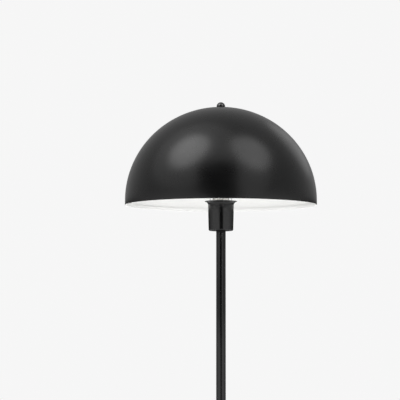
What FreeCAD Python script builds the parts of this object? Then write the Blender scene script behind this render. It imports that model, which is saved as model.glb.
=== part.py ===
import FreeCAD, Part
import math
import os

# Mushroom floor lamp: a spun steel dome over a flared cup, on a thin stem and a round stone base.
# Millimetres, +Z up. The origin is the middle of the base's underside, the stem is the Z axis,
# X runs across the lamp seen from the front, and Y points to the back, where the cord leaves.

V = FreeCAD.Vector
UP = V(0, 0, 1)

# ---------------------------------------------------------------- driving dimensions

# Base: a turned stone disc on a rubber pad, with a well and a cord groove underneath
base_d = 254.0
base_t = 25.0
base_top_round = 8.0
base_foot_round = 6.0
pad_t = 2.0
pad_inset = 2.0
well_d = 46.0
well_depth = 14.0
groove_w = 10.0
groove_h = 9.0
bush_len = 12.0
bush_bore_d = 6.6
bush_corner = 1.0

# Hollow threaded tube that clamps the base and the cup, and joins the stem's lengths
thread_d = 10.0
nipple_bore_d = 7.5
nipple_spare = 1.0
coupling_len = 36.0
cup_nipple_grip = 16.0
base_nipple_grip = 16.0

# Base hardware
plate_washer_d = 38.0
plate_washer_t = 2.0
lock_washer_d = 17.0
lock_washer_t = 1.4
lock_washer_slit = 1.2
base_nut_af = 17.0
base_nut_t = 5.0

# Foot collar: a trumpet-shaped bush that the stem stands in
collar_h = 14.0
collar_foot_d = 26.0
collar_wall = 0.9
collar_edge = 1.2
collar_floor = 2.0

# Stem: three equal lengths of steel tube with a threaded insert in each end
stem_top = 1346.5
stem_wall = 1.2
stem_lengths = ["stem_lower", "stem_middle", "stem_upper"]
insert_len = 20.0
insert_wall = 1.2

# Socket cup: spun steel, with a rounded foot and a flared lip
cup_h = 46.3
cup_foot_d = 38.4
cup_neck_d = 40.6
cup_lip_d = 50.4
cup_wall = 1.0
cup_foot_round = 1.8
cup_flare_h = 4.8
cup_nut_af = 14.0
cup_nut_t = 3.0

# Saddle and bow, which carry the shade over the bulb
saddle_w = 8.0
saddle_t = 1.5
saddle_eye_d = 19.0
saddle_bend = 2.5
saddle_rise = 9.0
tab_end = 5.0
bow_wire_d = 3.5
bow_foot_x = 28.0
bow_belly_x = 44.0
bow_knee_low = 13.0
bow_knee_high = 45.0
bow_knee_bend = 18.0
bow_shoulder_bend = 28.0
tenon_d = 2.5
rivet_head_h = 1.0
rivet_head_over = 1.0
post_barrel_d = 10.0
post_barrel_h = 7.0
post_flange_d = 16.0
post_flange_t = 1.6
post_stud_d = 6.0

# Lampholder: a glazed ceramic body on a bent bracket with a threaded hub
hub_d = 13.2
hub_h = 4.0
bracket_w = 10.0
bracket_t = 1.2
bracket_bend = 1.2
bracket_leg_y = 9.0
bracket_rise = 6.5
holder_d = 30.8
holder_floor = 5.0
holder_below_lip = 1.0
holder_edge = 0.8
screw_d = 3.0
screw_head_d = 4.8
screw_head_h = 1.8
screw_depth = 3.6
shell_wall = 0.35
shell_below_top = 1.0
shell_flange_d = 16.0
contact_w = 5.0
contact_t = 0.4
contact_lift = 3.0
contact_back = 7.2
contact_front = 3.6
contact_slope = 3.0
contact_bend = 0.8
contact_rivet_y = 5.2
shell_rivet_x = 10.2
contact_rivet_d = 2.0
contact_rivet_head_d = 3.4
contact_rivet_head_h = 0.7

# Wiring inside the stem: two single leads
lead_d = 2.2
lead_x = 2.3
lead_hole_depth = 4.0

# Bulb: a pear-shaped lamp, 60 across, with a 26 mm screw cap
bulb_len = 108.0
bulb_d = 60.0
bulb_cap_d = 26.2
bulb_cap_len = 27.0
bulb_cap_wall = 0.5
bulb_neck_d = 27.2
bulb_neck_bend = 40.0
bulb_glass_t = 1.0
bulb_contact_d = 9.6
bulb_contact_t = 1.0
bulb_insulator_h = 4.0

# Shade: a spun steel dome on a short straight skirt, with its edge hemmed inside
shade_d = 300.0
shade_rise = 146.5
shade_skirt = 7.2
shade_wall = 0.8
shade_hem = 5.0
shade_drop = 6.3
crown_seat_d = 18.0

# Finial: a domed cap nut on the post, with a thin washer on each side of the crown
washer_t = 0.8
shade_washer_d = 15.0
finial_washer_d = 12.6
finial_d = 13.6
finial_h = 7.3
finial_skirt = 1.4
finial_bore_depth = 5.6

# Clearances, each a gap on the radius or on one side
thread_gap = 0.05
tube_gap = 0.05
pass_gap = 0.25
stone_gap = 0.5
bush_gap = 0.1
saddle_gap = 0.4
rivet_gap = 0.05
wire_gap = 0.05
shell_gap = 0.05
cap_gap = 0.05
crown_gap = 0.2
end_gap = 0.3
head_gap = 0.1

# ---------------------------------------------------------------- levels, from the floor up

base_r = base_d / 2
base_top = pad_t + base_t
well_top = pad_t + well_depth
plate_washer_z = well_top - plate_washer_t
lock_washer_z = plate_washer_z - lock_washer_t
base_nut_z = lock_washer_z - base_nut_t
stem_foot = base_top + collar_floor
stem_section = (stem_top - stem_foot) / len(stem_lengths)
thread_hole_r = thread_d / 2 + thread_gap
insert_r = thread_hole_r + insert_wall
tube_r = insert_r + tube_gap
stem_r = tube_r + stem_wall

cup_top = stem_top + cup_h
saddle_z = stem_top + cup_wall
cup_nut_z = saddle_z + saddle_t
hub_z = cup_nut_z + cup_nut_t
holder_z = hub_z + hub_h + bracket_rise
holder_top = cup_top - holder_below_lip
screw_y = bracket_leg_y + bracket_bend + head_gap + screw_head_d / 2
cavity_z = holder_z + holder_floor
shell_inner_r = bulb_cap_d / 2 + cap_gap
shell_outer_r = shell_inner_r + shell_wall
cavity_r = shell_outer_r + shell_gap
bulb_z = cavity_z + contact_lift + contact_t

rim_z = cup_top - shade_drop
hem_z = rim_z + shade_hem
dome_z = rim_z + shade_skirt
shade_r = shade_d / 2
crown_seat_r = crown_seat_d / 2
crown_top = dome_z + shade_rise * math.sqrt(1 - (crown_seat_r / shade_r) ** 2)
crown_under = crown_top - shade_wall
post_flange_z = crown_under - washer_t - post_flange_t
post_barrel_z = post_flange_z - post_barrel_h
bow_top = post_barrel_z + post_barrel_h / 2
tab_z = cup_top + saddle_rise
finial_z = crown_top + washer_t
post_top = finial_z + finial_bore_depth - end_gap


# ---------------------------------------------------------------- ways of making a solid

def save(name, *solids):
    """Writes the solids of one named sub-part."""
    shape = solids[0] if len(solids) == 1 else Part.makeCompound(list(solids))
    shape.exportStep("parts/" + name + ".step")


def rod(radius, z_low, z_high, x=0.0, y=0.0):
    """An upright cylinder between two levels."""
    return Part.makeCylinder(radius, z_high - z_low, V(x, y, z_low))


def ring(outer_r, inner_r, z_low, z_high):
    """An upright tube or washer between two levels."""
    return rod(outer_r, z_low, z_high).cut(rod(inner_r, z_low, z_high))


def turned(start, *steps):
    """Spins an outline of (radius, height) points about the stem's axis.

    A step is a point, reached by a straight line, or two points: one on an arc and its end.
    A step may also be an edge of its own, with the point where it ends.
    """
    edges = []
    here = V(start[0], 0, start[1])
    for step in steps + (start,):
        if isinstance(step[0], Part.Edge):
            there = V(step[1][0], 0, step[1][1])
            edges.append(step[0])
        elif isinstance(step[0], tuple):
            middle = V(step[0][0], 0, step[0][1])
            there = V(step[1][0], 0, step[1][1])
            edges.append(Part.Arc(here, middle, there).toShape())
        else:
            there = V(step[0], 0, step[1])
            if here.distanceToPoint(there) > 1e-6:
                edges.append(Part.makeLine(here, there))
        here = there
    face = Part.Face(Part.Wire(Part.__sortEdges__(edges)))
    return face.revolve(V(0, 0, 0), UP, 360)


def on_circle(centre, radius, degrees):
    """The (radius, height) point of a circle in the outline's plane."""
    turn = math.radians(degrees)
    return (centre[0] + radius * math.cos(turn), centre[1] + radius * math.sin(turn))


def flare(neck_r, lip_r, neck_z, lip_z):
    """The arc that leaves an upright wall at neck_r and spreads to lip_r: its middle and end."""
    out = lip_r - neck_r
    height = abs(lip_z - neck_z)
    radius = (out * out + height * height) / (2 * out)
    half = math.asin(height / radius) / 2
    if out > radius:
        half = (math.pi - math.asin(height / radius)) / 2
    side = 1 if lip_z > neck_z else -1
    middle = (neck_r + radius * (1 - math.cos(half)), neck_z + side * radius * math.sin(half))
    return middle, (lip_r, lip_z)


def bent_line(points, radii):
    """A path of straight runs joined by tangent arcs, one radius for each inner point."""
    edges = []
    here = points[0]
    for before, corner, after, radius in zip(points, points[1:], points[2:], radii):
        into = (corner - before).normalize()
        out = (after - corner).normalize()
        turn = math.acos(max(-1.0, min(1.0, into.dot(out))))
        reach = radius * math.tan(turn / 2)
        start = corner - into * reach
        end = corner + out * reach
        centre = corner + (out - into).normalize() * (radius / math.cos(turn / 2))
        middle = centre + (corner - centre).normalize() * radius
        if here.distanceToPoint(start) > 1e-6:
            edges.append(Part.makeLine(here, start))
        edges.append(Part.Arc(start, middle, end).toShape())
        here = end
    edges.append(Part.makeLine(here, points[-1]))
    return Part.Wire(edges)


def bent_strip(points, bend, across, width, thickness):
    """A flat strip bent along a path. The points are its middle line, across is its width's way."""
    along = (points[1] - points[0]).normalize()
    normal = along.cross(across)
    corners = [points[0] + across * (a * width / 2) + normal * (n * thickness / 2)
               for a, n in ((1, 1), (-1, 1), (-1, -1), (1, -1), (1, 1))]
    path = bent_line(points, [bend] * (len(points) - 2))
    return path.makePipeShell([Part.makePolygon(corners)], True, False)


def hex_nut(across_flats, bore_r, z_low, z_high):
    """A plain hexagon nut whose corners are turned off at both faces."""
    corner_r = across_flats / math.sqrt(3)
    turns = [math.radians(60 * i) for i in range(7)]
    corners = [V(corner_r * math.cos(t), corner_r * math.sin(t), z_low) for t in turns]
    prism = Part.Face(Part.makePolygon(corners)).extrude(UP * (z_high - z_low))
    drop = corner_r - across_flats / 2
    rounded = turned((0, z_low), (across_flats / 2, z_low), (corner_r, z_low + drop / 2),
                     (corner_r, z_high - drop / 2), (across_flats / 2, z_high), (0, z_high))
    return prism.common(rounded).cut(rod(bore_r, z_low, z_high))


# ---------------------------------------------------------------- base

def base_disc():
    """The stone disc: bullnosed rim, bore for the threaded tube, well and cord groove below."""
    top, foot = base_top_round, base_foot_round
    disc = turned(
        (0, pad_t), (base_r - foot, pad_t),
        (on_circle((base_r - foot, pad_t + foot), foot, -45), (base_r, pad_t + foot)),
        (base_r, base_top - top),
        (on_circle((base_r - top, base_top - top), top, 45), (base_r - top, base_top)),
        (0, base_top))
    disc = disc.cut(rod(thread_d / 2 + stone_gap, pad_t, base_top))
    disc = disc.cut(rod(well_d / 2, pad_t, well_top))
    groove = Part.makeBox(groove_w, base_r, groove_h, V(-groove_w / 2, 0, pad_t))
    return disc.cut(groove)


def cord_bush():
    """The rubber bush in the mouth of the groove, bored for the cord."""
    width = groove_w - 2 * bush_gap
    back = base_r - base_foot_round
    block = Part.makeBox(width, bush_len, groove_h, V(-width / 2, back - bush_len, pad_t))
    upright = [e for e in block.Edges if abs(e.tangentAt(e.FirstParameter).z) > 0.9]
    block = block.makeFillet(bush_corner, upright)
    middle = V(0, back - bush_len, pad_t + groove_h / 2)
    return block.cut(Part.makeCylinder(bush_bore_d / 2, bush_len, middle, V(0, 1, 0)))


def lock_washer():
    """The split spring washer under the base nut."""
    washer = ring(lock_washer_d / 2, thread_d / 2 + pass_gap, lock_washer_z, plate_washer_z)
    slit = Part.makeBox(lock_washer_d, lock_washer_slit, lock_washer_t,
                        V(0, -lock_washer_slit / 2, lock_washer_z))
    return washer.cut(slit)


def foot_collar():
    """The turned collar on the stone, flared like a trumpet, with a floor that the stem stands on."""
    socket_r = stem_r + tube_gap
    neck_r = socket_r + collar_wall
    top = base_top + collar_h
    middle, foot = flare(neck_r, collar_foot_d / 2, top, base_top + collar_edge)
    body = turned((0, base_top), (collar_foot_d / 2, base_top), foot, (middle, (neck_r, top)), (0, top))
    body = body.cut(rod(socket_r, stem_foot, top))
    return body.cut(rod(thread_d / 2 + pass_gap, base_top, stem_foot))


nipple_bore_r = nipple_bore_d / 2
save("base_pad", rod(base_r - base_foot_round - pad_inset, 0, pad_t))
save("base_disc", base_disc())
save("cord_bush", cord_bush())
save("base_plate_washer",
     ring(plate_washer_d / 2, thread_d / 2 + pass_gap, plate_washer_z, well_top))
save("base_lock_washer", lock_washer())
save("base_nut", hex_nut(base_nut_af, thread_hole_r, base_nut_z, lock_washer_z))
save("base_nipple",
     ring(thread_d / 2, nipple_bore_r, base_nut_z - nipple_spare, stem_foot + base_nipple_grip))
save("foot_collar", foot_collar())

# ---------------------------------------------------------------- stem

joints = [stem_foot + stem_section * i for i in range(1, len(stem_lengths))]
for i, name in enumerate(stem_lengths):
    low = stem_foot + stem_section * i
    save(name, ring(stem_r, tube_r, low, low + stem_section))

insert_feet = [stem_foot, stem_top - insert_len]
for level in joints:
    insert_feet += [level - insert_len, level]
save("stem_inserts", *[ring(insert_r, thread_hole_r, z, z + insert_len) for z in insert_feet])
save("coupling_nipples",
     *[ring(thread_d / 2, nipple_bore_r, z - coupling_len / 2, z + coupling_len / 2)
       for z in joints])

# ---------------------------------------------------------------- cup


def socket_cup():
    """The spun cup: flat floor, rounded foot, slightly widening wall and a lip with a round edge."""
    foot_r, neck_r = cup_foot_d / 2, cup_neck_d / 2
    edge = cup_wall / 2
    lip_r = cup_lip_d / 2 - edge
    neck_z = cup_top - cup_wall - cup_flare_h
    outer_middle, outer_lip = flare(neck_r, lip_r, neck_z, cup_top - cup_wall)
    inner_middle, inner_lip = flare(neck_r - cup_wall, lip_r, neck_z, cup_top)
    inner_round = cup_foot_round - cup_wall
    inner_foot_r = foot_r - cup_wall
    floor = stem_top + cup_wall
    cup = turned(
        (0, stem_top), (foot_r - cup_foot_round, stem_top),
        (on_circle((foot_r - cup_foot_round, stem_top + cup_foot_round), cup_foot_round, -45),
         (foot_r, stem_top + cup_foot_round)),
        (neck_r, neck_z), (outer_middle, outer_lip),
        ((cup_lip_d / 2, cup_top - edge), inner_lip), (inner_middle, (neck_r - cup_wall, neck_z)),
        (inner_foot_r, floor + inner_round),
        (on_circle((inner_foot_r - inner_round, floor + inner_round), inner_round, -45),
         (inner_foot_r - inner_round, floor)),
        (0, floor))
    return cup.cut(rod(thread_d / 2 + pass_gap, stem_top, floor))


save("socket_cup", socket_cup())
save("cup_nut", hex_nut(cup_nut_af, thread_hole_r, cup_nut_z, hub_z))
save("cup_nipple",
     ring(thread_d / 2, nipple_bore_r, stem_top - cup_nipple_grip, hub_z + hub_h - nipple_spare))

# ---------------------------------------------------------------- saddle, bow and post


def saddle():
    """The bent strap clamped in the cup: two arms rise past the lip and turn out as tabs."""
    room = cup_foot_d / 2 - cup_wall - saddle_gap
    arm_x = math.sqrt(room ** 2 - (saddle_w / 2) ** 2) - saddle_t / 2
    low = saddle_z + saddle_t / 2
    high = tab_z - saddle_t / 2
    end_x = bow_foot_x + tab_end
    half = [V(end_x, 0, high), V(arm_x, 0, high), V(arm_x, 0, low)]
    points = half + [V(-p.x, 0, p.z) for p in reversed(half)]
    strap = bent_strip(points, saddle_bend, V(0, 1, 0), saddle_w, saddle_t)
    strap = strap.fuse(rod(saddle_eye_d / 2, saddle_z, cup_nut_z))
    strap = strap.cut(rod(thread_d / 2 + pass_gap, saddle_z, cup_nut_z))
    for side in (-1, 1):
        strap = strap.cut(rod(tenon_d / 2 + rivet_gap, tab_z - saddle_t, tab_z, side * bow_foot_x))
    ends = [e for e in strap.Edges if abs(e.tangentAt(e.FirstParameter).z) > 0.9
            and abs(abs(e.CenterOfMass.x) - end_x) < 1e-3]
    return strap.makeFillet(saddle_w / 2 - saddle_t, ends)


def bow():
    """The bent wire over the bulb, with a riveted tenon at each foot."""
    half = [V(bow_foot_x, 0, tab_z), V(bow_foot_x, 0, tab_z + bow_knee_low),
            V(bow_belly_x, 0, tab_z + bow_knee_high), V(bow_belly_x, 0, bow_top)]
    points = half + [V(-p.x, 0, p.z) for p in reversed(half)]
    bends = [bow_knee_bend, bow_knee_bend, bow_shoulder_bend]
    path = bent_line(points, bends + bends[::-1])
    section = Part.Wire(Part.makeCircle(bow_wire_d / 2, points[0], UP))
    wire = path.makePipeShell([section], True, False)
    for side in (-1, 1):
        x = side * bow_foot_x
        under = tab_z - saddle_t
        wire = wire.fuse(rod(tenon_d / 2, under, tab_z, x))
        wire = wire.fuse(rod(tenon_d / 2 + rivet_head_over, under - rivet_head_h, under, x))
    return wire


def post():
    """The turned post: a cross-bored barrel on the bow, a flange for the shade and a stud."""
    turning = rod(post_barrel_d / 2, post_barrel_z, post_flange_z)
    turning = turning.fuse(rod(post_flange_d / 2, post_flange_z, post_flange_z + post_flange_t))
    turning = turning.fuse(rod(post_stud_d / 2, post_flange_z + post_flange_t, post_top))
    start = V(-post_barrel_d, 0, bow_top)
    cross_bore = Part.makeCylinder(bow_wire_d / 2 + wire_gap, 2 * post_barrel_d, start, V(1, 0, 0))
    return turning.cut(cross_bore).removeSplitter()


save("saddle", saddle())
save("bow", bow())
save("bow_post", post())
save("shade_washer", ring(shade_washer_d / 2, post_stud_d / 2 + crown_gap,
                          crown_under - washer_t, crown_under))

# ---------------------------------------------------------------- lampholder


def bracket():
    """The holder's bracket: a strip bent into a U with its feet turned out, on a threaded hub."""
    low = hub_z + hub_h - bracket_t / 2
    high = holder_z - bracket_t / 2
    half = [V(0, holder_d / 2, high), V(0, bracket_leg_y, high), V(0, bracket_leg_y, low)]
    points = half + [V(0, -p.y, p.z) for p in reversed(half)]
    strip = bent_strip(points, bracket_bend, V(1, 0, 0), bracket_w, bracket_t)
    strip = strip.fuse(rod(hub_d / 2, hub_z, hub_z + hub_h))
    strip = strip.cut(rod(thread_hole_r, hub_z, hub_z + hub_h))
    for side in (-1, 1):
        hole = rod(screw_d / 2 + pass_gap, holder_z - bracket_t, holder_z, 0, side * screw_y)
        strip = strip.cut(hole)
    return strip.common(rod(holder_d / 2 - holder_edge, hub_z, holder_z))


def holder_body():
    """The glazed ceramic body, with its cavity, two screw holes, two lead holes and rivet holes."""
    r = holder_d / 2
    body = turned((0, holder_z), (r - holder_edge, holder_z), (r, holder_z + holder_edge),
                  (r, holder_top - holder_edge), (r - holder_edge, holder_top), (0, holder_top))
    body = body.cut(rod(cavity_r, cavity_z, holder_top))
    for side in (-1, 1):
        body = body.cut(rod(screw_d / 2 + thread_gap, holder_z, holder_z + screw_depth + end_gap,
                            0, side * screw_y))
        body = body.cut(rod(lead_d / 2 + pass_gap, holder_z, holder_z + lead_hole_depth,
                            side * lead_x))
    rivet_r = contact_rivet_d / 2 + rivet_gap
    body = body.cut(rod(rivet_r, holder_z, cavity_z, 0, contact_rivet_y))
    return body.cut(rod(rivet_r, holder_z, cavity_z, shell_rivet_x, 0))


def holder_screw(side):
    """A pan-head screw through the bracket's foot into the ceramic."""
    y = side * screw_y
    foot = holder_z - bracket_t
    shank = rod(screw_d / 2, foot, holder_z + screw_depth, 0, y)
    head = rod(screw_head_d / 2, foot - screw_head_h, foot, 0, y)
    rim = [e for e in head.Edges if e.BoundBox.ZMax < foot - screw_head_h / 2]
    return head.makeChamfer(screw_head_h / 3, rim).fuse(shank)


def screw_shell():
    """The brass shell that the bulb screws into, with a flange riveted to the cavity's floor."""
    top = holder_top - shell_below_top
    shell = turned((shell_flange_d / 2, cavity_z), (shell_outer_r, cavity_z), (shell_outer_r, top),
                   (shell_inner_r, top), (shell_inner_r, cavity_z + shell_wall),
                   (shell_flange_d / 2, cavity_z + shell_wall))
    return shell.cut(rod(contact_rivet_d / 2 + rivet_gap, cavity_z, cavity_z + shell_wall,
                         shell_rivet_x, 0))


def centre_contact():
    """The brass tongue that springs up under the bulb's tip."""
    low = cavity_z + contact_t / 2
    high = low + contact_lift
    points = [V(0, contact_back, low), V(0, contact_slope, low),
              V(0, 0, high), V(0, -contact_front, high)]
    tongue = bent_strip(points, contact_bend, V(1, 0, 0), contact_w, contact_t)
    return tongue.cut(rod(contact_rivet_d / 2 + rivet_gap, cavity_z, cavity_z + contact_t,
                          0, contact_rivet_y))


def contact_rivet(x, y, top):
    """A tubular rivet through the ceramic's floor, headed above the contact and below the body."""
    low, high = holder_z - contact_rivet_head_h, top + contact_rivet_head_h
    rivet = rod(contact_rivet_d / 2, low, high, x, y)
    rivet = rivet.fuse(rod(contact_rivet_head_d / 2, low, holder_z, x, y))
    return rivet.fuse(rod(contact_rivet_head_d / 2, top, high, x, y))


save("holder_bracket", bracket())
save("holder_body", holder_body())
save("holder_screws", holder_screw(-1), holder_screw(1))
save("screw_shell", screw_shell())
save("centre_contact", centre_contact())
save("contact_rivets", contact_rivet(0, contact_rivet_y, cavity_z + contact_t),
     contact_rivet(shell_rivet_x, 0, cavity_z + shell_wall))

lead_low = base_nut_z - nipple_spare
lead_high = holder_z + lead_hole_depth - end_gap
save("lead_live", rod(lead_d / 2, lead_low, lead_high, -lead_x))
save("lead_neutral", rod(lead_d / 2, lead_low, lead_high, lead_x))

# ---------------------------------------------------------------- bulb


def bulb_outline(inset):
    """The glass's outline from its neck up, drawn inset from the outer face: points and arcs."""
    ball_r = bulb_d / 2
    neck_r = bulb_neck_d / 2
    ball_z = bulb_z + bulb_len - ball_r
    span = ball_r + bulb_neck_bend
    waist = (neck_r + bulb_neck_bend, ball_z - math.sqrt(span ** 2 - (neck_r + bulb_neck_bend) ** 2))
    lean = math.degrees(math.asin((ball_z - waist[1]) / span))
    foot = (neck_r - inset, bulb_z + bulb_cap_len)
    waist_start = (neck_r - inset, waist[1])
    waist_middle = on_circle(waist, bulb_neck_bend + inset, 180 - lean / 2)
    tangent = on_circle((0, ball_z), ball_r - inset, -lean)
    ball_middle = on_circle((0, ball_z), ball_r - inset, 90 - (90 + lean) / 2)
    crown = (0, ball_z + ball_r - inset)
    return foot, waist_start, waist_middle, tangent, ball_middle, crown


def bulb_glass():
    """The pear-shaped envelope, open at its neck where the cap closes it."""
    foot, waist, waist_middle, tangent, ball_middle, crown = bulb_outline(0)
    in_foot, in_waist, in_waist_middle, in_tangent, in_ball_middle, in_crown = \
        bulb_outline(bulb_glass_t)
    return turned(foot, waist, (waist_middle, tangent), (ball_middle, crown), in_crown,
                  (in_ball_middle, in_tangent), (in_waist_middle, in_waist), in_foot)


def bulb_cap():
    """The screw cap: a thin cup whose floor is the insulator."""
    low = bulb_z + bulb_contact_t + bulb_insulator_h
    return ring(bulb_cap_d / 2, bulb_cap_d / 2 - bulb_cap_wall, low, bulb_z + bulb_cap_len)


def bulb_insulator():
    """The dark glass cone between the cap and the tip contact."""
    low = bulb_z + bulb_contact_t
    return turned((0, low), (bulb_contact_d / 2, low),
                  (bulb_cap_d / 2, low + bulb_insulator_h), (0, low + bulb_insulator_h))


save("bulb_glass", bulb_glass())
save("bulb_cap", bulb_cap())
save("bulb_insulator", bulb_insulator())
save("bulb_contact", rod(bulb_contact_d / 2, bulb_z, bulb_z + bulb_contact_t))

# ---------------------------------------------------------------- shade and finial


def dome_arc(radius, rise, seat_z):
    """Part of an upright half ellipse, from the skirt up to the flat seat: the edge and its end."""
    side, crown, centre = V(radius, 0, dome_z), V(0, 0, dome_z + rise), V(0, 0, dome_z)
    lean = math.asin((seat_z - dome_z) / rise)
    if radius >= rise:
        arc = Part.ArcOfEllipse(Part.Ellipse(side, crown, centre), 0, lean)
    else:
        arc = Part.ArcOfEllipse(Part.Ellipse(crown, side, centre), math.pi / 2 - lean, math.pi / 2)
    return arc.toShape(), (radius * math.cos(lean), seat_z)


def shade_shell():
    """The spun dome: flat seat on the crown, elliptical wall, skirt, and an edge folded up inside."""
    wall = shade_wall
    hem_r = shade_r - 2 * wall
    outer, outer_seat = dome_arc(shade_r, shade_rise, crown_top)
    inner, inner_seat = dome_arc(shade_r - wall, shade_rise - wall, crown_under)
    shell = turned(
        (0, crown_under), (0, crown_top), outer_seat, (outer, (shade_r, dome_z)),
        (shade_r, rim_z + wall), ((shade_r - wall, rim_z), (hem_r, rim_z + wall)),
        (hem_r, hem_z), (shade_r - wall, hem_z), (shade_r - wall, dome_z), (inner, inner_seat))
    return shell.cut(rod(post_stud_d / 2 + crown_gap, crown_under, crown_top))


def finial():
    """The domed cap nut: a short upright skirt under a round top, bored blind for the stud."""
    r = finial_d / 2
    skirt_z = finial_z + finial_skirt
    top = finial_z + finial_h
    rise = top - skirt_z
    ball_r = (r * r + rise * rise) / (2 * rise)
    lean = math.degrees(math.asin(r / ball_r))
    middle = on_circle((0, top - ball_r), ball_r, 90 - lean / 2)
    nut = turned((0, finial_z), (r, finial_z), (r, skirt_z), (middle, (0, top)))
    return nut.cut(rod(post_stud_d / 2 + thread_gap, finial_z, finial_z + finial_bore_depth))


save("shade_shell", shade_shell())
save("finial_washer", ring(finial_washer_d / 2, post_stud_d / 2 + crown_gap, crown_top, finial_z))
save("finial", finial())
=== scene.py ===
import math

import bmesh
import bpy
from mathutils import Matrix, Vector


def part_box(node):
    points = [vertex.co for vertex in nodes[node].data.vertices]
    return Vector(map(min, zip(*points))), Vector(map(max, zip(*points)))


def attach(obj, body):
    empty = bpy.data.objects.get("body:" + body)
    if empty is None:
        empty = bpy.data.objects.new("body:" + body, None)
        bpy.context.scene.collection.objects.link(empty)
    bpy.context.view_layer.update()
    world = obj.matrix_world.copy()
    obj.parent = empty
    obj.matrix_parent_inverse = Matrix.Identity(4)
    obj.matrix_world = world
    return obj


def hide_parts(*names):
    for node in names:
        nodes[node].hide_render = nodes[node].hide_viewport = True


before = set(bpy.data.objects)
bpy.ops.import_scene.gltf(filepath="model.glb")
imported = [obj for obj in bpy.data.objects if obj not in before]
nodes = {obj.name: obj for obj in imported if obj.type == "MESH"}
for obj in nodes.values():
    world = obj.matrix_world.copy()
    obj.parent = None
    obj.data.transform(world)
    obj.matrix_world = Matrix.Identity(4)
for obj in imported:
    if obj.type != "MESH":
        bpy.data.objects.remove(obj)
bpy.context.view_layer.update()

# ---- Camera
# A long lens a little below the shade looks slightly up at the lamp's head, as the large figure does.
camera_height, camera_distance, camera_aside = 0.893, 6.93, -0.0327
camera_tilt = math.radians(4.14)
camera_reach = 1000
photo_width_px, focal_length_px, sensor_width = 400, 4446, 36.0

camera_data = bpy.data.cameras.new("camera")
camera_data.sensor_width = sensor_width
camera_data.lens = sensor_width * focal_length_px / photo_width_px
camera_data.clip_end = camera_reach
camera = bpy.data.objects.new("camera", camera_data)
camera.location = (camera_aside, -camera_distance, camera_height)
camera.rotation_euler = (math.pi / 2 + camera_tilt, 0, 0)
bpy.context.collection.objects.link(camera)
bpy.context.scene.camera = camera
bpy.context.scene.view_settings.view_transform = "Standard"

# ---- Floor, surround and lamps
# A pale studio: a wide matt floor that keeps the lamp's shadow and runs out into an even pale surround.
# Two round soft boxes stand high at the left and the right, and a third lights the shade from below.
pale = (0.923, 0.923, 0.923, 1)
fill_grey = (0.63, 0.63, 0.63, 1)
floor_white = (0.86, 0.86, 0.86, 1)
floor_half, floor_near, floor_far, floor_evened = 70.0, 1.2, 4.5, 0.35
floor_sides = 96


def shader_tree(datablock):
    """Empties a node tree and gives back its nodes, its joiner of sockets and its output node."""
    datablock.use_nodes = True
    tree = datablock.node_tree
    tree.nodes.clear()
    kind = "World" if isinstance(datablock, bpy.types.World) else "Material"
    return tree.nodes, tree.links.new, tree.nodes.new("ShaderNodeOutput" + kind)


def shown_rays(shader_nodes, join):
    """1 for the rays that show the surround itself: seen straight, in gloss or through glass."""
    path = shader_nodes.new("ShaderNodeLightPath")
    total = path.outputs["Is Camera Ray"]
    for ray in ("Is Glossy Ray", "Is Transmission Ray"):
        either = shader_nodes.new("ShaderNodeMath")
        either.operation = "MAXIMUM"
        join(total, either.inputs[0])
        join(path.outputs[ray], either.inputs[1])
        total = either.outputs[0]
    return total


def mixed(shader_nodes, join, factor, first, second, output):
    """Joins two shaders to an output through a factor."""
    choice = shader_nodes.new("ShaderNodeMixShader")
    join(factor, choice.inputs[0])
    join(first.outputs[0], choice.inputs[1])
    join(second.outputs[0], choice.inputs[2])
    join(choice.outputs[0], output.inputs[0])


def staged(skin, name, material):
    """Makes a piece of the studio, which isn't part of the lamp."""
    mesh = bpy.data.meshes.new(name)
    skin.to_mesh(mesh)
    skin.free()
    mesh.materials.append(material)
    prop = bpy.data.objects.new(name, mesh)
    bpy.context.collection.objects.link(prop)
    return prop


world = bpy.data.worlds.new("surround")
bpy.context.scene.world = world
shader_nodes, join, output = shader_tree(world)
fill = shader_nodes.new("ShaderNodeBackground")
fill.inputs["Color"].default_value = fill_grey
surround = shader_nodes.new("ShaderNodeBackground")
surround.inputs["Color"].default_value = pale
mixed(shader_nodes, join, shown_rays(shader_nodes, join), fill, surround, output)

floor_paint = bpy.data.materials.new("floor_paint")
shader_nodes, join, output = shader_tree(floor_paint)
lit = shader_nodes.new("ShaderNodeBsdfDiffuse")
lit.inputs["Color"].default_value = floor_white
even = shader_nodes.new("ShaderNodeEmission")
even.inputs["Color"].default_value = pale
place = shader_nodes.new("ShaderNodeTexCoord")
reach = shader_nodes.new("ShaderNodeVectorMath")
reach.operation = "LENGTH"
join(place.outputs["Object"], reach.inputs[0])
fade = shader_nodes.new("ShaderNodeMapRange")
fade.interpolation_type = "SMOOTHSTEP"
fade.inputs["From Min"].default_value = floor_near
fade.inputs["From Max"].default_value = floor_far
fade.inputs["To Min"].default_value = floor_evened
join(reach.outputs["Value"], fade.inputs["Value"])
shown = shader_nodes.new("ShaderNodeMath")
shown.operation = "MULTIPLY"
join(fade.outputs[0], shown.inputs[0])
join(shown_rays(shader_nodes, join), shown.inputs[1])
mixed(shader_nodes, join, shown.outputs[0], lit, even, output)
sheet = bmesh.new()
bmesh.ops.create_circle(sheet, cap_ends=True, segments=floor_sides, radius=floor_half)
staged(sheet, "floor", floor_paint)

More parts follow.
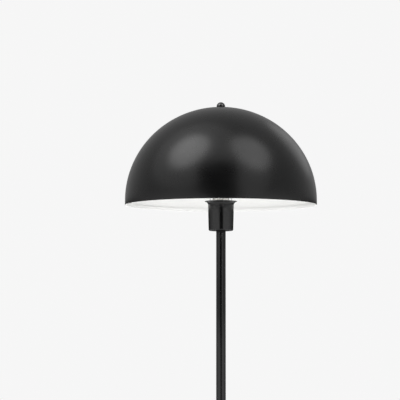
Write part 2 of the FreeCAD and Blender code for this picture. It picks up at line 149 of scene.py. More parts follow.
# Only the lamp's gloss sees the cloths: a grey tent, open at the left and the right in front and at the
# right behind, a pale cloth below it that darkens towards the back, and black flags before the camera.
tent_radius, tent_foot, tent_top, tent_grey = 3.6, 1.62, 9, 0.415
tent_segments, tent_rings = 48, 24
tent_openings = ((-53, 52, 44), (36, 26, 24), (144, 26, 15))
low_cloth_grey, low_cloth_dark, low_cloth_near, low_cloth_far = 1.12, 0.08, -1.5, 2.35
flags = ((-4, 22, 1.9, 1.9), (3, 0, 1.35, 1.1))
flag_distance = 2.3
soft_boxes = {
    "left": (-60, 53, 2.2, 1.55, 1.7, 22.5),
    "right": (54, 51, 2.2, 1.5, 1.75, 14.7),
    "under": (0, -66, 1.37, 0.7, 0.7, 13.0),
}
shade_low, shade_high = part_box("shade_shell")
head = (shade_low + shade_high) / 2


def towards(azimuth, elevation):
    """The direction from the lamp's head, in degrees round from the camera and up from level."""
    level = math.cos(math.radians(elevation))
    return Vector((level * math.sin(math.radians(azimuth)), -level * math.cos(math.radians(azimuth)),
                   math.sin(math.radians(elevation))))


def aimed(azimuth, elevation, distance):
    """The place in that direction from the head, at a distance, that faces the head."""
    away = towards(azimuth, elevation)
    return Matrix.Translation(head + away * distance) @ away.to_track_quat("Z", "Y").to_matrix().to_4x4()


def cloth(skin, name, near_grey, far_grey):
    """Hangs a lit cloth that only gloss sees, of one grey in front and another behind."""
    material = bpy.data.materials.new(name)
    shader_nodes, join, output = shader_tree(material)
    light = shader_nodes.new("ShaderNodeEmission")
    place = shader_nodes.new("ShaderNodeTexCoord")
    depth = shader_nodes.new("ShaderNodeSeparateXYZ")
    grey = shader_nodes.new("ShaderNodeMapRange")
    grey.inputs["From Min"].default_value = low_cloth_near
    grey.inputs["From Max"].default_value = low_cloth_far
    grey.inputs["To Min"].default_value = near_grey
    grey.inputs["To Max"].default_value = far_grey
    join(place.outputs["Object"], depth.inputs[0])
    join(depth.outputs["Y"], grey.inputs["Value"])
    join(grey.outputs[0], light.inputs["Strength"])
    join(light.outputs[0], output.inputs[0])
    prop = staged(skin, name, material)
    prop.visible_camera = prop.visible_diffuse = prop.visible_shadow = prop.visible_transmission = False


def tent(openings, low_z, high_z):
    """A dome of cloth round the head between two heights, with round openings cut in it."""
    skin = bmesh.new()
    bmesh.ops.create_uvsphere(skin, u_segments=tent_segments, v_segments=tent_rings,
                              radius=tent_radius, matrix=Matrix.Translation(head))
    cuts = [(head + towards(azimuth, elevation) * tent_radius * math.cos(math.radians(spread)),
             towards(azimuth, elevation)) for azimuth, elevation, spread in openings]
    for place, outwards in cuts + [((0, 0, low_z), (0, 0, -1)), ((0, 0, high_z), (0, 0, 1))]:
        bmesh.ops.bisect_plane(skin, geom=skin.verts[:] + skin.edges[:] + skin.faces[:], clear_outer=True,
                               plane_co=place, plane_no=outwards)
    return skin


cloth(tent(tent_openings, tent_foot, tent_top), "grey_tent", tent_grey, tent_grey)
cloth(tent((), 0, tent_foot), "low_cloth", low_cloth_grey, low_cloth_dark)
flag = bmesh.new()
for azimuth, elevation, width, height in flags:
    place = aimed(azimuth, elevation, flag_distance) @ Matrix.Diagonal((width, height, 1, 1))
    bmesh.ops.create_grid(flag, x_segments=1, y_segments=1, size=0.5, matrix=place)
cloth(flag, "black_flag", 0.0, 0.0)

for side, (azimuth, elevation, distance, width, height, watts) in soft_boxes.items():
    lamp_data = bpy.data.lights.new("soft_box_" + side, "AREA")
    lamp_data.shape = "ELLIPSE"
    lamp_data.size, lamp_data.size_y = width, height
    lamp_data.energy = watts
    lamp = bpy.data.objects.new("soft_box_" + side, lamp_data)
    lamp.matrix_world = aimed(azimuth, elevation, distance)
    lamp.visible_camera = False
    lamp.visible_glossy = side != "under"
    bpy.context.collection.objects.link(lamp)

# ---- Base pad
# Black sheet rubber, stamped out as a thin disc and glued under the stone so that it neither slides
# nor scratches. It is narrower than the stone, so only a dark line of it shows.
mm = 0.001
merge_gap, crisp_angle = 1e-6, math.radians(32)
pad_edge_round = 0.4 * mm
rubber_black = (0.022, 0.022, 0.023, 1)


def spun(outline, steps=96, round_steps=5):
    """Spins corners of radius, height and rounding about the lamp's axis into a closed skin."""
    skin = bmesh.new()
    corners = [skin.verts.new((radius, 0, height)) for radius, height, _ in outline]
    for corner, following in zip(corners, corners[1:] + corners[:1]):
        if corner.co.x + following.co.x > 0:
            skin.edges.new((corner, following))
    for corner, (_, _, rounding) in zip(corners, outline):
        if rounding:
            bmesh.ops.bevel(skin, geom=[corner], offset=rounding, affect="VERTICES",
                            segments=round_steps, profile=0.5, material=-1)
    return spin_round(skin, steps)


def spin_round(skin, steps):
    """Carries an outline once round the lamp's axis and merges its seam and its poles."""
    bmesh.ops.spin(skin, geom=skin.verts[:] + skin.edges[:], cent=(0, 0, 0), axis=(0, 0, 1),
                   angle=math.tau, steps=steps, use_merge=True)
    bmesh.ops.remove_doubles(skin, verts=skin.verts, dist=merge_gap)
    bmesh.ops.recalc_face_normals(skin, faces=skin.faces)
    return skin


def finished(skin, name, material, body, slot, *stands_for):
    """Makes a smooth piece of a skin, keeps its corners crisp, and fixes it to a body."""
    mesh = bpy.data.meshes.new(name)
    skin.to_mesh(mesh)
    skin.free()
    mesh.shade_smooth()
    mesh.set_sharp_from_angle(angle=crisp_angle)
    mesh.materials.append(material)
    piece = bpy.data.objects.new(name, mesh)
    bpy.context.collection.objects.link(piece)
    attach(piece, body)
    if stands_for:
        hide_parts(*stands_for)
    return piece


def surface(name, settings):
    """A material of one principled shader with its plain settings on the shader's own sockets."""
    material = bpy.data.materials.new(name)
    shader_nodes, join, output = shader_tree(material)
    shader = shader_nodes.new("ShaderNodeBsdfPrincipled")
    for socket, value in settings.items():
        shader.inputs[socket].default_value = value
    join(shader.outputs[0], output.inputs[0])
    return material


def grain(material, size, detail=2.0, stretch=(1, 1, 1), sharpness=0.5, sway=None):
    """Noise on the piece's own place, in blotches of a size, spread to a factor from 0 to 1."""
    shader_nodes, join = material.node_tree.nodes, material.node_tree.links.new
    place = shader_nodes.new("ShaderNodeTexCoord").outputs["Object"]
    if sway:
        bend = shader_nodes.new("ShaderNodeTexNoise")
        bend.inputs["Scale"].default_value = 1 / sway[0]
        join(place, bend.inputs["Vector"])
        shift = shader_nodes.new("ShaderNodeVectorMath")
        shift.operation = "MULTIPLY_ADD"
        shift.inputs[1].default_value = [sway[1]] * 3
        join(bend.outputs["Color"], shift.inputs[0])
        join(place, shift.inputs[2])
        place = shift.outputs[0]
    scale = shader_nodes.new("ShaderNodeMapping")
    scale.inputs["Scale"].default_value = [s / size for s in stretch]
    noise = shader_nodes.new("ShaderNodeTexNoise")
    noise.inputs["Scale"].default_value = 1
    noise.inputs["Detail"].default_value = detail
    spread = shader_nodes.new("ShaderNodeMapRange")
    spread.inputs["From Min"].default_value = 0.5 - sharpness / 2
    spread.inputs["From Max"].default_value = 0.5 + sharpness / 2
    join(place, scale.inputs["Vector"])
    join(scale.outputs[0], noise.inputs["Vector"])
    join(noise.outputs["Fac"], spread.inputs["Value"])
    return spread.outputs[0]


def varies(material, socket, factor, first, second):
    """Lets a factor carry one socket of the shader between two colours or two numbers."""
    shader_nodes, join = material.node_tree.nodes, material.node_tree.links.new
    if isinstance(first, tuple):
        between = shader_nodes.new("ShaderNodeMix")
        between.data_type = "RGBA"
        between.inputs[6].default_value = first
        between.inputs[7].default_value = second
        join(factor, between.inputs[0])
        result = between.outputs[2]
    else:
        between = shader_nodes.new("ShaderNodeMapRange")
        between.inputs["To Min"].default_value = first
        between.inputs["To Max"].default_value = second
        join(factor, between.inputs["Value"])
        result = between.outputs[0]
    join(result, shader_nodes["Principled BSDF"].inputs[socket])
    return material


def raised(material, *heights):
    """Stacks bumps, each a factor, its height in metres and its strength, under the shader's normal."""
    shader_nodes, join = material.node_tree.nodes, material.node_tree.links.new
    below = None
    for factor, height, strength in heights:
        bump = shader_nodes.new("ShaderNodeBump")
        bump.inputs["Distance"].default_value = height
        bump.inputs["Strength"].default_value = strength
        join(factor, bump.inputs["Height"])
        if below:
            join(below, bump.inputs["Normal"])
        below = bump.outputs[0]
    join(below, shader_nodes["Principled BSDF"].inputs["Normal"])
    return material


def rubber(name, colour):
    """Matt rubber with a faint bloom and a fine moulded grain."""
    material = surface(name, {"Base Color": colour, "Roughness": 0.75, "Specular IOR Level": 0.35})
    bloom = tuple(min(1, c * 1.8 + 0.01) for c in colour[:3]) + (1,)
    varies(material, "Base Color", grain(material, 9 * mm, 4), colour, bloom)
    varies(material, "Roughness", grain(material, 5 * mm), 0.62, 0.86)
    return raised(material, (grain(material, 0.35 * mm), 0.05 * mm, 0.5))


sheet_rubber = rubber("sheet_rubber", rubber_black)
low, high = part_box("base_pad")
pad = spun([(0, low.z, 0), (high.x, low.z, pad_edge_round), (high.x, high.z, 0), (0, high.z, 0)],
           steps=128)
finished(pad, "rubber_pad", sheet_rubber, "stand", "sheet_rubber", "base_pad")

# ---- Base disc
# White marble, turned and polished with a bullnosed rim. Its underside has a well for the clamp nut and
# a channel for a cord, and a bore lets the threaded tube through to the stem.
disc_top_round, disc_foot_round, disc_bore, disc_bore_edge = 8 * mm, 6 * mm, 5.5 * mm, 0.5 * mm
disc_well, disc_well_top = 23 * mm, 16 * mm
channel_width, channel_top = 10 * mm, 11 * mm
marble_white, marble_cloud = (0.83, 0.83, 0.82, 1), (0.66, 0.665, 0.67, 1)
marble_vein, marble_thread = (0.30, 0.31, 0.33, 1), (0.16, 0.165, 0.18, 1)


def ridges(material, factor, width):
    """The thin lines where a smooth factor passes its middle, with soft edges."""
    shader_nodes, join = material.node_tree.nodes, material.node_tree.links.new
    centred = shader_nodes.new("ShaderNodeMath")
    centred.operation = "SUBTRACT"
    centred.inputs[1].default_value = 0.5
    away = shader_nodes.new("ShaderNodeMath")
    away.operation = "ABSOLUTE"
    line = shader_nodes.new("ShaderNodeMapRange")
    line.interpolation_type = "SMOOTHSTEP"
    line.inputs["From Max"].default_value = width
    line.inputs["To Min"].default_value = 1
    line.inputs["To Max"].default_value = 0
    join(factor, centred.inputs[0])
    join(centred.outputs[0], away.inputs[0])
    join(away.outputs[0], line.inputs["Value"])
    return line.outputs[0]


def times(material, first, second):
    """The product of two factors."""
    product = material.node_tree.nodes.new("ShaderNodeMath")
    product.operation = "MULTIPLY"
    product.use_clamp = True
    material.node_tree.links.new(first, product.inputs[0])
    material.node_tree.links.new(second, product.inputs[1])
    return product.outputs[0]


marble = surface("white_marble", {"Roughness": 0.22, "Specular IOR Level": 0.5})
shader_nodes, join = marble.node_tree.nodes, marble.node_tree.links.new
clouds = grain(marble, 85 * mm, 5, (1, 0.45, 1), 0.55, sway=(60 * mm, 40 * mm))
broad = ridges(marble, grain(marble, 95 * mm, 3, (1, 0.35, 1), 1.0, sway=(70 * mm, 60 * mm)), 0.045)
broken = grain(marble, 50 * mm, 2, sharpness=0.3)
fine = ridges(marble, grain(marble, 60 * mm, 6, (0.5, 1, 1), 1.0, sway=(30 * mm, 30 * mm)), 0.012)
colour = shader_nodes.new("ShaderNodeMix")
colour.data_type = "RGBA"
colour.inputs[6].default_value, colour.inputs[7].default_value = marble_white, marble_cloud
join(times(marble, clouds, grain(marble, 120 * mm, sharpness=0.4)), colour.inputs[0])
for mask, tone in ((times(marble, broad, broken), marble_vein),
                   (times(marble, fine, clouds), marble_thread)):
    over = shader_nodes.new("ShaderNodeMix")
    over.data_type = "RGBA"
    over.inputs[7].default_value = tone
    join(colour.outputs[2], over.inputs[6])
    join(mask, over.inputs[0])
    colour = over
join(colour.outputs[2], shader_nodes["Principled BSDF"].inputs["Base Color"])
varies(marble, "Roughness", grain(marble, 12 * mm, 3), 0.18, 0.30)
raised(marble, (broad, -0.04 * mm, 0.3), (grain(marble, 1.5 * mm), 0.01 * mm, 0.3))

low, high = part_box("base_disc")
disc = spun([(disc_well, low.z, 0), (high.x, low.z, disc_foot_round), (high.x, high.z, disc_top_round),
             (disc_bore, high.z, disc_bore_edge), (disc_bore, disc_well_top, 0),
             (disc_well, disc_well_top, 0)], steps=160, round_steps=10)
disc = finished(disc, "marble_disc", marble, "stand", "white_marble", "base_disc")


def bored(piece, cutter):
    """Cuts a closed bmesh out of a piece, for good."""
    cutter_mesh = bpy.data.meshes.new("cutter")
    cutter.to_mesh(cutter_mesh)
    cutter.free()
    tool = bpy.data.objects.new("cutter", cutter_mesh)
    bpy.context.collection.objects.link(tool)
    cut = piece.modifiers.new("cut", "BOOLEAN")
    cut.operation, cut.solver, cut.object = "DIFFERENCE", "EXACT", tool
    bpy.context.view_layer.update()
    evaluated = piece.evaluated_get(bpy.context.evaluated_depsgraph_get())
    mesh = bpy.data.meshes.new_from_object(evaluated)
    piece.modifiers.clear()
    piece.data = mesh
    mesh.set_sharp_from_angle(angle=crisp_angle)
    bpy.data.objects.remove(tool)


channel = bmesh.new()
bmesh.ops.create_cube(channel, size=1)
bmesh.ops.scale(channel, vec=(channel_width, 2 * high.y, 2 * (channel_top - low.z)), verts=channel.verts)
bmesh.ops.translate(channel, vec=(0, high.y, low.z), verts=channel.verts)
bored(disc, channel)

# ---- Cord bush
# A moulded rubber bush, pressed into the mouth of the channel at the back, where a cord would leave.


def dressed(material, *names):
    """Gives CAD pieces whose shape is right their real finish."""
    for name in names:
        nodes[name].material_slots[0].material = material


dressed(rubber("black_rubber", rubber_black), "cord_bush")

# ---- Base hardware
# Under the disc sit a wide steel washer, a split spring washer and a hexagon nut, all bright zinc. The
# nut draws down the hollow threaded tube, which holds the stone and the stem together.
zinc_light, zinc_dark = (0.72, 0.73, 0.74, 1), (0.52, 0.535, 0.56, 1)
tube_thread_pitch, tube_thread_depth, tube_bore, tube_end_edge = 1 * mm, 0.45 * mm, 3.75 * mm, 0.4 * mm
thread_rows, thread_seek, thread_slack = 6, 0.5 * mm, 0.1 * mm


def threaded(skin, pitch, depth, low_z, high_z, radius, seek=thread_seek):
    """Cuts a helical thread into the skin's walls near a radius, from seek inside it, between two heights."""
    inmost, outmost = radius - seek, radius + thread_slack

    def on_wall(vert):
        return low_z - merge_gap < vert.co.z < high_z + merge_gap and inmost < vert.co.xy.length < outmost

    walls = [e for e in skin.edges if all(on_wall(v) for v in e.verts)
             and abs(e.verts[0].co.z - e.verts[1].co.z) > pitch]
    rows = max(1, round((high_z - low_z) / pitch * thread_rows))
    bmesh.ops.subdivide_edges(skin, edges=walls, cuts=rows, use_grid_fill=True)
    for vert in skin.verts:
        whole = low_z + pitch / 4 < vert.co.z < high_z - pitch / 4
        if whole and inmost < vert.co.xy.length < outmost:
            turn = math.atan2(vert.co.y, vert.co.x) / math.tau
            wave = abs((vert.co.z / pitch - turn) % 1 * 2 - 1)
            vert.co.xy *= 1 - depth * wave / vert.co.xy.length
    return skin


def threaded_tube(name, low_z, high_z, radius, *stands_for):
    """A hollow tube with a fine outer thread and a small chamfer at each end."""
    tube = spun([(tube_bore, low_z, 0), (radius, low_z, tube_end_edge), (radius, high_z, tube_end_edge),
                 (tube_bore, high_z, 0)], steps=40, round_steps=1)
    threaded(tube, tube_thread_pitch, tube_thread_depth, low_z + tube_end_edge, high_z - tube_end_edge,
             radius)
    finished(tube, name, zinc, "stand", "zinc_steel", *stands_for)


zinc = surface("zinc_steel", {"Metallic": 1.0})
varies(zinc, "Base Color", grain(zinc, 6 * mm, 4, sharpness=0.4), zinc_light, zinc_dark)
varies(zinc, "Roughness", grain(zinc, 3 * mm, 3), 0.24, 0.42)
raised(zinc, (grain(zinc, 0.4 * mm), 0.01 * mm, 0.35))
dressed(zinc, "base_plate_washer", "base_lock_washer", "base_nut")
low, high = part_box("base_nipple")
threaded_tube("base_tube", low.z, high.z, high.x, "base_nipple")

# ---- Foot collar
# A turned steel bush, enamelled black, that flares like a trumpet onto the stone. The stem stands on
# the floor inside it.
collar_wall, collar_floor, collar_edge, collar_lip_round = 0.9 * mm, 2 * mm, 1.2 * mm, 0.35 * mm
collar_bore, collar_foot_bore, collar_foot_round = 7.55 * mm, 5.25 * mm, 0.2 * mm
flare_share = 0.995
enamel_black, enamel_worn = (0.0025, 0.0025, 0.0027, 1), (0.005, 0.005, 0.0052, 1)


def flare(neck_r, neck_z, lip_r, lip_z):
    """The rounded corner of an arc that leaves an upright wall and spreads to a lip: a spun corner."""
    out, rise = lip_r - neck_r, abs(lip_z - neck_z)
    leg = (out * out + rise * rise) / (2 * rise)
    return neck_r, neck_z + math.copysign(leg, lip_z - neck_z), leg * flare_share


def enamel(name, roughness, gloss):
    """Sprayed black enamel: a deep even black, a little orange peel and faint handling marks."""
    material = surface(name, {"Coat Weight": gloss, "Coat Roughness": roughness * 0.6,
                              "Specular IOR Level": 0.45})
    varies(material, "Base Color", grain(material, 18 * mm, 4), enamel_black, enamel_worn)
    varies(material, "Roughness", grain(material, 7 * mm, 3), roughness * 0.85, roughness * 1.2)
    return raised(material, (grain(material, 1.6 * mm), 0.02 * mm, 0.08),
                  (grain(material, 0.3 * mm), 0.004 * mm, 0.12))


enamel_satin = enamel("black_enamel", 0.15, 0.0)
low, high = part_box("foot_collar")
neck = collar_bore + collar_wall
collar = spun([(collar_foot_bore, low.z, 0), (high.x, low.z, collar_foot_round),
               (high.x, low.z + collar_edge, 0),
               flare(neck, high.z, high.x, low.z + collar_edge), (neck, high.z, collar_lip_round),
               (collar_bore, high.z, collar_lip_round), (collar_bore, low.z + collar_floor, 0),
               (collar_foot_bore, low.z + collar_floor, 0)], round_steps=12)
finished(collar, "stem_collar", enamel_satin, "stand", "black_gloss_paint", "foot_collar")

# ---- Stem
# Three equal steel tubes, enamelled black, butt together end to end so that the lamp fits its box. Each
# end has a turned plug with a tapped hole, and short threaded tubes screw the lengths together.
stem_bore, stem_end_round = 6.3 * mm, 0.25 * mm
for name in ("stem_lower", "stem_middle", "stem_upper"):
    low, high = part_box(name)
    tube = spun([(stem_bore, low.z, 0), (high.x, low.z, stem_end_round),
                 (high.x, high.z, stem_end_round), (stem_bore, high.z, 0)], steps=80, round_steps=3)
    finished(tube, name + "_tube", enamel_satin, "stand", "black_gloss_paint", name)
dressed(zinc, "stem_inserts")
low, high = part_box("coupling_nipples")
coupling_length = 36 * mm
threaded_tube("coupling_tube_low", low.z, low.z + coupling_length, high.x, "coupling_nipples")
threaded_tube("coupling_tube_high", high.z - coupling_length, high.z, high.x, "coupling_nipples")

# ---- Socket cup
# Spun from sheet steel and enamelled black: a flat floor, a small round foot, a wall that widens
# slightly, and a lip flared outwards with a round edge. The stem's top tube passes through its floor.
cup_foot, cup_neck, cup_wall, cup_bore = 19.2 * mm, 20.3 * mm, 1 * mm, 5.25 * mm
cup_foot_round, cup_flare_height, cup_edge_round, cup_edge_lift = 1.8 * mm, 4.8 * mm, 0.48 * mm, 0.05 * mm
low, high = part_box("socket_cup")
lip, neck_z = high.x, high.z - cup_wall - cup_flare_height
cup = spun([(cup_bore, low.z, 0), (cup_foot, low.z, cup_foot_round), (cup_neck, neck_z, 0),
            flare(cup_neck, neck_z, lip - cup_edge_round, high.z - cup_wall),
            (lip, high.z - cup_wall + cup_edge_lift, cup_edge_round), (lip, high.z, cup_edge_round),
            flare(cup_neck - cup_wall, neck_z, lip - cup_edge_round, high.z),
            (cup_neck - cup_wall, neck_z, 0),
            (cup_foot - cup_wall, low.z + cup_wall, cup_foot_round - cup_wall),
            (cup_bore, low.z + cup_wall, 0)], steps=128, round_steps=10)
finished(cup, "flared_cup", enamel_satin, "stand", "black_gloss_paint", "socket_cup")
dressed(zinc, "cup_nut")
low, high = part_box("cup_nipple")
threaded_tube("cup_tube", low.z, high.z, high.x, "cup_nipple")

# ---- Saddle and bow
# A bent strap of zinc-plated steel is clamped in the cup, and a bent wire riveted to its two tabs
# arches over the bulb. Both carry the shade.
dressed(zinc, "saddle", "bow")

# ---- Shade post
# A turned steel post on top of the bow. The wire runs through a cross bore in its barrel, its flange
# carries the shade, and the finial screws onto its stud.
barrel_r, barrel_height, flange_t, stud_r = 5 * mm, 7 * mm, 1.6 * mm, 3 * mm
cross_bore_r, turned_edge, stud_end_edge = 1.8 * mm, 0.3 * mm, 0.4 * mm
stud_pitch, stud_depth = 0.8 * mm, 0.4 * mm
low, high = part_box("bow_post")
flange_z = low.z + barrel_height
stud_z = flange_z + flange_t
post = spun([(0, low.z, 0), (barrel_r, low.z, turned_edge), (barrel_r, flange_z, 0),
             (high.x, flange_z, turned_edge), (high.x, stud_z, turned_edge), (stud_r, stud_z, 0),
             (stud_r, high.z, stud_end_edge), (0, high.z, 0)], steps=64, round_steps=2)
threaded(post, stud_pitch, stud_depth, stud_z, high.z - stud_end_edge, stud_r)
post = finished(post, "shade_post", zinc, "stand", "zinc_steel", "bow_post")
cross = bmesh.new()
bmesh.ops.create_cone(cross, cap_ends=True, segments=40, radius1=cross_bore_r, radius2=cross_bore_r,
                      depth=4 * barrel_r)
bmesh.ops.rotate(cross, matrix=Matrix.Rotation(math.pi / 2, 3, "Y"), verts=cross.verts)
bmesh.ops.translate(cross, vec=(0, 0, low.z + barrel_height / 2), verts=cross.verts)
bored(post, cross)

# ---- Lampholder
# A glazed porcelain body sits on a bent zinc bracket that screws onto the cup's tube. Inside it are a
# rolled brass screw shell, a sprung brass tongue and two tubular rivets.
holder_thread_pitch, holder_thread_depth = 3.63 * mm, 0.55 * mm
shell_flange_r, shell_wall, shell_thread_seek = 8 * mm, 0.35 * mm, 0.6 * mm
glaze_white, glaze_shade = (0.86, 0.85, 0.82, 1), (0.78, 0.77, 0.73, 1)
brass_bright, brass_dull = (0.78, 0.60, 0.30, 1), (0.55, 0.38, 0.18, 1)

porcelain = surface("glazed_porcelain", {"Coat Weight": 0.5, "Coat Roughness": 0.05,
                                         "Specular IOR Level": 0.5})
varies(porcelain, "Base Color", grain(porcelain, 5 * mm, 4), glaze_white, glaze_shade)
varies(porcelain, "Roughness", grain(porcelain, 2 * mm, 3), 0.12, 0.3)
raised(porcelain, (grain(porcelain, 2.5 * mm), 0.05 * mm, 0.2))
brass = surface("stamped_brass", {"Metallic": 1.0})
varies(brass, "Base Color", grain(brass, 4 * mm, 4), brass_bright, brass_dull)
varies(brass, "Roughness", grain(brass, 2 * mm, 3), 0.22, 0.45)
raised(brass, (grain(brass, 0.5 * mm), 0.01 * mm, 0.4))
dressed(porcelain, "holder_body")
dressed(zinc, "holder_bracket", "holder_screws")
dressed(brass, "centre_contact", "contact_rivets")
low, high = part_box("screw_shell")
shell_outer = high.x
shell = spun([(shell_flange_r, low.z, 0), (shell_outer, low.z, 0), (shell_outer, high.z, 0),
              (shell_outer - shell_wall, high.z, 0), (shell_outer - shell_wall, low.z + shell_wall, 0),
              (shell_flange_r, low.z + shell_wall, 0)], steps=72)
thread_low, thread_high = low.z + shell_wall, high.z
threaded(shell, holder_thread_pitch, holder_thread_depth, thread_low, thread_high, shell_outer,
         shell_thread_seek)
finished(shell, "threaded_shell", brass, "stand", "brass", "screw_shell")

# ---- Leads
# Two single leads, brown and blue, run down inside the stem from the lampholder to the well.


def insulation(name, colour, deep):
    """Soft extruded insulation with a faint waxy sheen."""
    material = surface(name, {"Specular IOR Level": 0.4})
    varies(material, "Base Color", grain(material, 8 * mm, 3, (1, 1, 0.2)), colour, deep)
    varies(material, "Roughness", grain(material, 3 * mm), 0.38, 0.55)
    return raised(material, (grain(material, 0.6 * mm, 2, (1, 1, 0.1)), 0.02 * mm, 0.3))


dressed(insulation("brown_insulation", (0.24, 0.11, 0.05, 1), (0.17, 0.075, 0.03, 1)), "lead_live")
dressed(insulation("blue_insulation", (0.05, 0.13, 0.42, 1), (0.03, 0.09, 0.32, 1)), "lead_neutral")

# ---- Bulb
# An ordinary frosted bulb: a blown pear of glass, a rolled nickel-plated cap with a screw thread that
# fits the shell's, a cone of black glass and a brass contact at the tip.
glass_wall, neck_r, waist_bend, ball_steps = 1 * mm, 13.6 * mm, 40 * mm, 40
cap_wall, cap_thread_seek = 0.5 * mm, 0.8 * mm
nickel_bright, nickel_dull = (0.76, 0.75, 0.72, 1), (0.60, 0.59, 0.56, 1)

frosted = surface("frosted_glass", {"Base Color": (0.94, 0.94, 0.92, 1), "Transmission Weight": 0.12,
                                    "IOR": 1.5, "Coat Weight": 0.6, "Coat Roughness": 0.08})
varies(frosted, "Roughness", grain(frosted, 14 * mm, 3), 0.42, 0.55)
raised(frosted, (grain(frosted, 0.3 * mm), 0.01 * mm, 0.1))
low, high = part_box("bulb_glass")
ball_r = high.x
ball_z = high.z - ball_r
waist_r = neck_r + waist_bend
waist_z = ball_z - math.sqrt((ball_r + waist_bend) ** 2 - waist_r ** 2)
lean = math.asin((ball_z - waist_z) / (ball_r + waist_bend))
glass = bmesh.new()
crown = glass.verts.new((0, 0, high.z))
ball = bmesh.ops.spin(glass, geom=[crown], cent=(0, 0, ball_z), axis=(0, 1, 0),
                      angle=math.pi / 2 + lean, steps=ball_steps)
waist = bmesh.ops.spin(glass, geom=ball["geom_last"], cent=(waist_r, 0, waist_z), axis=(0, -1, 0),
                       angle=lean, steps=ball_steps // 2)
foot = glass.verts.new((neck_r, 0, low.z))
glass.edges.new((waist["geom_last"][0], foot))
spin_round(glass, 96)
bmesh.ops.solidify(glass, geom=glass.faces, thickness=glass_wall)
finished(glass, "glass_bulb", frosted, "bulb", "frosted_glass", "bulb_glass")

nickel = surface("rolled_nickel", {"Metallic": 1.0})
varies(nickel, "Base Color", grain(nickel, 5 * mm, 4), nickel_bright, nickel_dull)
varies(nickel, "Roughness", grain(nickel, 2 * mm, 3), 0.2, 0.4)
raised(nickel, (grain(nickel, 0.4 * mm), 0.01 * mm, 0.4))
low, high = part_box("bulb_cap")
cap = spun([(high.x - cap_wall, low.z, 0), (high.x, low.z, 0), (high.x, high.z, 0),
            (high.x - cap_wall, high.z, 0)], steps=72)
threaded(cap, holder_thread_pitch, holder_thread_depth, low.z, thread_high, high.x, cap_thread_seek)
finished(cap, "threaded_cap", nickel, "bulb", "nickel_cap", "bulb_cap")
vitrite = surface("black_vitrite", {"Base Color": (0.012, 0.012, 0.016, 1), "Coat Weight": 0.4})
varies(vitrite, "Roughness", grain(vitrite, 3 * mm, 3), 0.08, 0.25)
dressed(vitrite, "bulb_insulator")
dressed(brass, "bulb_contact")

# ---- Shade
# Spun from one disc of sheet steel into a deep dome with a short skirt, its edge folded up inside. It is
# powder-coated satin black outside and sprayed matt white inside, to throw the light down.
shade_rise, shade_skirt, shade_wall, shade_hem = 146.5 * mm, 7.2 * mm, 0.8 * mm, 5 * mm
shade_rim_round, seat_hole, arc_steps, shade_steps = 0.79 * shade_wall, 3.2 * mm, 72, 192
coat_black, coat_dust = (0.002, 0.002, 0.0021, 1), (0.003, 0.003, 0.0031, 1)
inside_white, inside_shade = (0.90, 0.90, 0.89, 1), (0.86, 0.86, 0.85, 1)

powder = surface("powder_coat", {"Specular IOR Level": 0.38})
varies(powder, "Base Color", grain(powder, 45 * mm, 5), coat_black, coat_dust)
varies(powder, "Roughness", grain(powder, 30 * mm, 4), 0.26, 0.30)
raised(powder, (grain(powder, 2.2 * mm), 0.03 * mm, 0.10), (grain(powder, 0.7 * mm), 0.012 * mm, 0.15))
white = surface("inside_white", {"Specular IOR Level": 0.3})
varies(white, "Base Color", grain(white, 40 * mm, 4), inside_white, inside_shade)
varies(white, "Roughness", grain(white, 20 * mm, 3), 0.55, 0.7)
raised(white, (grain(white, 1.2 * mm), 0.02 * mm, 0.25))

low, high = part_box("shade_shell")
shade_r = high.x
inner_r, hem_r = shade_r - shade_wall, shade_r - 2 * shade_wall
hem_z, dome_z = low.z + shade_hem, low.z + shade_skirt
dome = bmesh.new()


def dome_arc(radius, rise, top):
    """Draws part of a half ellipse up from the skirt; gives its foot and its end at the crown."""
    foot = dome.verts.new((radius, 0, dome_z))
    lean = math.asin((top - dome_z) / rise)
    arc = bmesh.ops.spin(dome, geom=[foot], cent=(0, 0, dome_z), axis=(0, -1, 0), angle=lean,
                         steps=arc_steps)
    return foot, arc["geom_last"][0]


def dome_corner(radius, height):
    """A corner of the shade's outline."""
    return dome.verts.new((radius, 0, height))


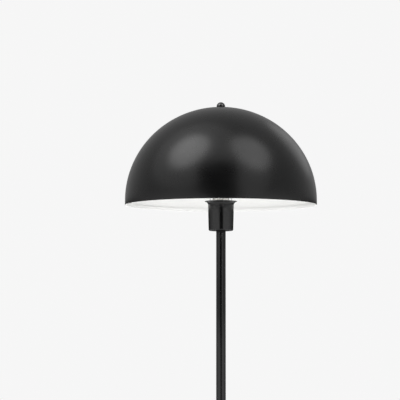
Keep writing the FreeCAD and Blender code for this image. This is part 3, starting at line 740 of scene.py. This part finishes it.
arcs = []
for radius, rise, top in ((shade_r, shade_rise, high.z),
                          (inner_r, shade_rise - shade_wall, high.z - shade_wall)):
    older = set(dome.verts)
    arcs.append(dome_arc(radius, rise, top))
    bmesh.ops.scale(dome, vec=(1, 1, rise / radius), space=Matrix.Translation((0, 0, -dome_z)),
                    verts=[v for v in dome.verts if v not in older])
(outer_foot, outer_top), (inner_foot, inner_top) = arcs
edge_outer = dome_corner(shade_r, low.z)
edge_inner = dome_corner(hem_r, low.z)
hem_top = dome_corner(hem_r, hem_z)
hem_wall = dome_corner(inner_r, hem_z)
hole_top = dome_corner(seat_hole, high.z)
hole_under = dome_corner(seat_hole, high.z - shade_wall)
for pair in ((outer_foot, edge_outer), (edge_outer, edge_inner), (edge_inner, hem_top),
             (hem_top, hem_wall), (hem_wall, inner_foot), (outer_top, hole_top),
             (hole_top, hole_under), (hole_under, inner_top)):
    dome.edges.new(pair)
for corner in (edge_outer, edge_inner):
    bmesh.ops.bevel(dome, geom=[corner], offset=shade_rim_round, affect="VERTICES", segments=5,
                    profile=0.5, material=-1)
spin_round(dome, shade_steps)
shade = finished(dome, "spun_shade", powder, "shade", "black_powder_coat", "shade_shell")
shade.data.materials.append(white)
for face in shade.data.polygons:
    outwards = face.normal.x * face.center.x + face.normal.y * face.center.y
    if face.center.z < dome_z:
        face.material_index = int(face.center.xy.length < shade_r - shade_wall / 2)
    else:
        face.material_index = int(outwards + face.normal.z * (face.center.z - dome_z) < 0)

# ---- Washers and finial
# Two thin rubber washers keep the steel of the post and the finial off the paint. The finial is a domed
# cap nut, turned and lacquered gloss black, and it is undone by hand.
finial_skirt, finial_edge, finial_bore, finial_bore_depth = 1.4 * mm, 0.35 * mm, 3.05 * mm, 5.6 * mm
button_steps = 24
dressed(rubber("washer_rubber", (0.03, 0.028, 0.027, 1)), "shade_washer", "finial_washer")
lacquer = enamel("gloss_lacquer", 0.12, 0.6)
low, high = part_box("finial")
button_r = high.x
rise = high.z - low.z - finial_skirt
button_ball = (button_r ** 2 + rise ** 2) / (2 * rise)
button = bmesh.new()
top = button.verts.new((0, 0, high.z))
arc = bmesh.ops.spin(button, geom=[top], cent=(0, 0, high.z - button_ball), axis=(0, 1, 0),
                     angle=math.atan2(button_r, button_ball - rise), steps=button_steps)
corners = [arc["geom_last"][0]]
for radius, height in ((button_r, low.z), (finial_bore, low.z), (finial_bore, low.z + finial_bore_depth),
                       (0, low.z + finial_bore_depth)):
    corners.append(button.verts.new((radius, 0, height)))
    button.edges.new(corners[-2:])
bmesh.ops.bevel(button, geom=[corners[1]], offset=finial_edge, affect="VERTICES", segments=4,
                profile=0.5, material=-1)
spin_round(button, 96)
finished(button, "button_finial", lacquer, "finial", "black_gloss_paint", "finial")
